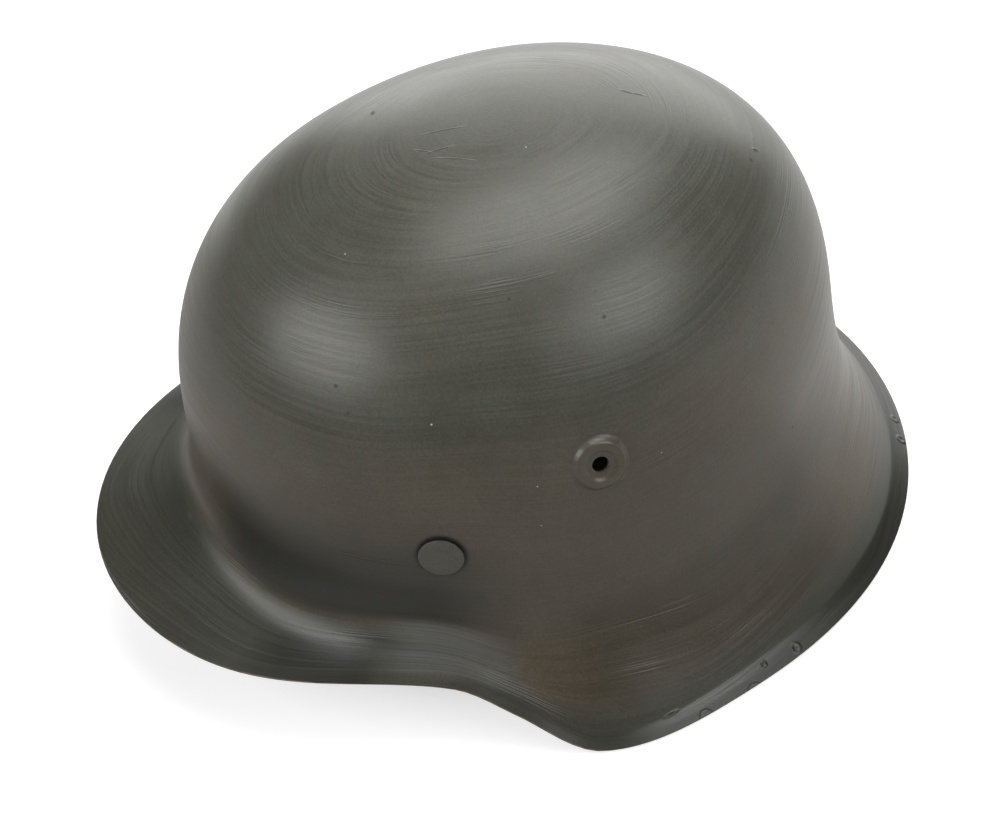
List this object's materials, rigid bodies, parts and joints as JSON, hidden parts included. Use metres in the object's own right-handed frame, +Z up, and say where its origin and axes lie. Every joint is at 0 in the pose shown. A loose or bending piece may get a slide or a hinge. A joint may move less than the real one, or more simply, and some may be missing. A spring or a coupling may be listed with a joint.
{
  "type": "stahlhelm steel helmet",
  "caption": "Pressed steel helmet shell with a sloping visor, flared neck guard, side vents and split rivets, resting on its rim.",
  "frame": {"origin": "middle of the helmet's length and width, on the surface that it rests on", "axes": "+Z up through the crown, -Y towards the visor, +X towards the wearer's left"},
  "size_m": [0.2474, 0.2772, 0.1618],
  "materials": {
    "field_paint": "semi-matte grey-green paint with fine brush strokes",
    "rivet_paint": "semi-matte grey-green paint"
  },
  "bodies": {
    "root": {"shell": "field_paint", "rivet_left": "rivet_paint", "rivet_right": "rivet_paint", "rivet_rear": "rivet_paint"}
  },
  "joints": []
}
